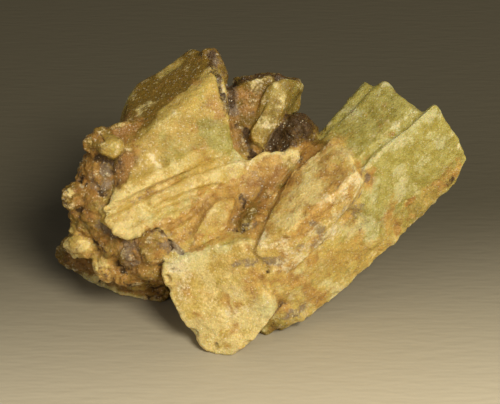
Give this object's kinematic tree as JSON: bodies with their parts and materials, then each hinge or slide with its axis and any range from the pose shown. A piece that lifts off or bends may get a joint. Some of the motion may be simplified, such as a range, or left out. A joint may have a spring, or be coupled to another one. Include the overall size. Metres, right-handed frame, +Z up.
{
  "type": "heulandite specimen",
  "caption": "Palm-size mineral specimen of intergrown waxy yellow tabular crystals with brown crust, resting on its cut-off base.",
  "frame": {"origin": "under the middle of the specimen's bounding box, on the surface it stands on", "axes": "+Z up as it rests, +X to the right along its longest side, -Y towards the viewer of its well formed faces"},
  "size_m": [0.0627, 0.0387, 0.0344],
  "materials": {
    "heulandite": "waxy to sugary crystal, pale yellow to olive, stained orange brown, with brown crust in the hollows"
  },
  "bodies": {
    "root": {"heulandite_specimen": "heulandite"}
  },
  "joints": []
}
